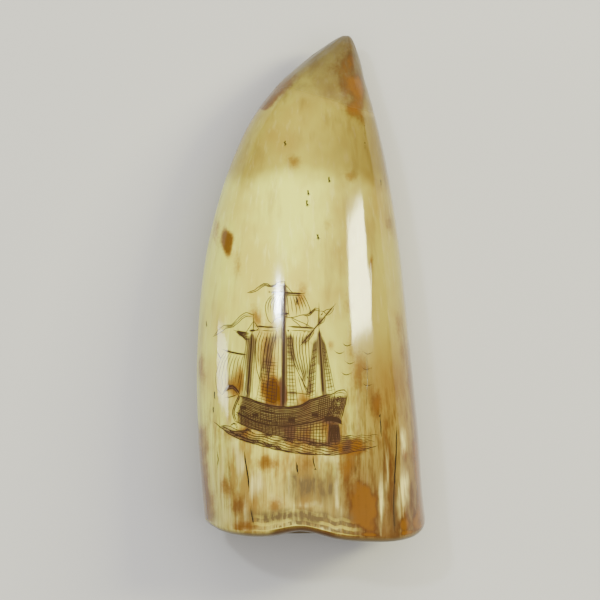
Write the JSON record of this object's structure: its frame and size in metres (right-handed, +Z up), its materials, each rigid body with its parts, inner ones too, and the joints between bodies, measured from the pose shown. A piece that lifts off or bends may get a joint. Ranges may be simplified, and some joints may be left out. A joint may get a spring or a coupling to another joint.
{
  "type": "scrimshaw whale tooth",
  "caption": "Curved, hollow-rooted whale tooth with a sailing ship engraved on its front face, lying on its back as a display piece.",
  "frame": {"origin": "middle of the tooth's length and width, on the surface that its back rests on", "axes": "+Y from the root end to the tip, +Z up through the engraved face, +X to the right of that face with the tip at its top"},
  "size_m": [0.0542, 0.1199, 0.0381],
  "materials": {
    "ivory": "polished, aged yellow, with brown stains and brown ink in the engraving"
  },
  "bodies": {
    "root": {"whale_tooth": "ivory"}
  },
  "joints": []
}
